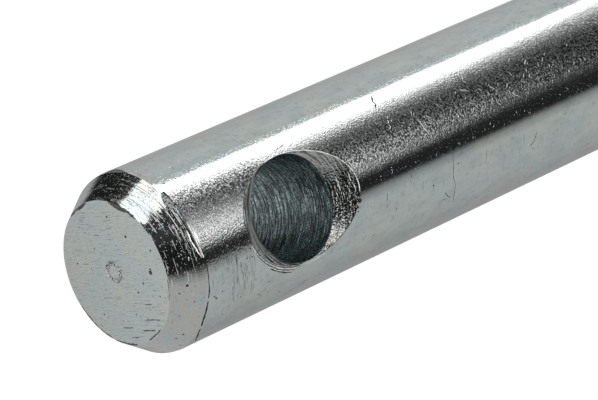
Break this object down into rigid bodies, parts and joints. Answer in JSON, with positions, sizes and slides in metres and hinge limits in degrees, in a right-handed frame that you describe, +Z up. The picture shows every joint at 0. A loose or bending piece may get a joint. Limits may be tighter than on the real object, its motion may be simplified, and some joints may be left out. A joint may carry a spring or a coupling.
{
  "type": "lower link pin",
  "caption": "Straight round steel pin with chamfered ends and a countersunk cross hole for a linchpin, which carries the ball end of a tractor's lower link.",
  "frame": {"origin": "centre of the plain end face, which the pin stands on", "axes": "+Z up along the pin to its holed end, and the linchpin hole along Y"},
  "size_m": [0.022, 0.022, 0.14],
  "materials": {
    "zinc_steel": "bright zinc plate over a drawn bar, with turned chamfers, a sawn face and drill marks in the hole"
  },
  "bodies": {
    "root": {"link_pin": "zinc_steel"}
  },
  "joints": []
}
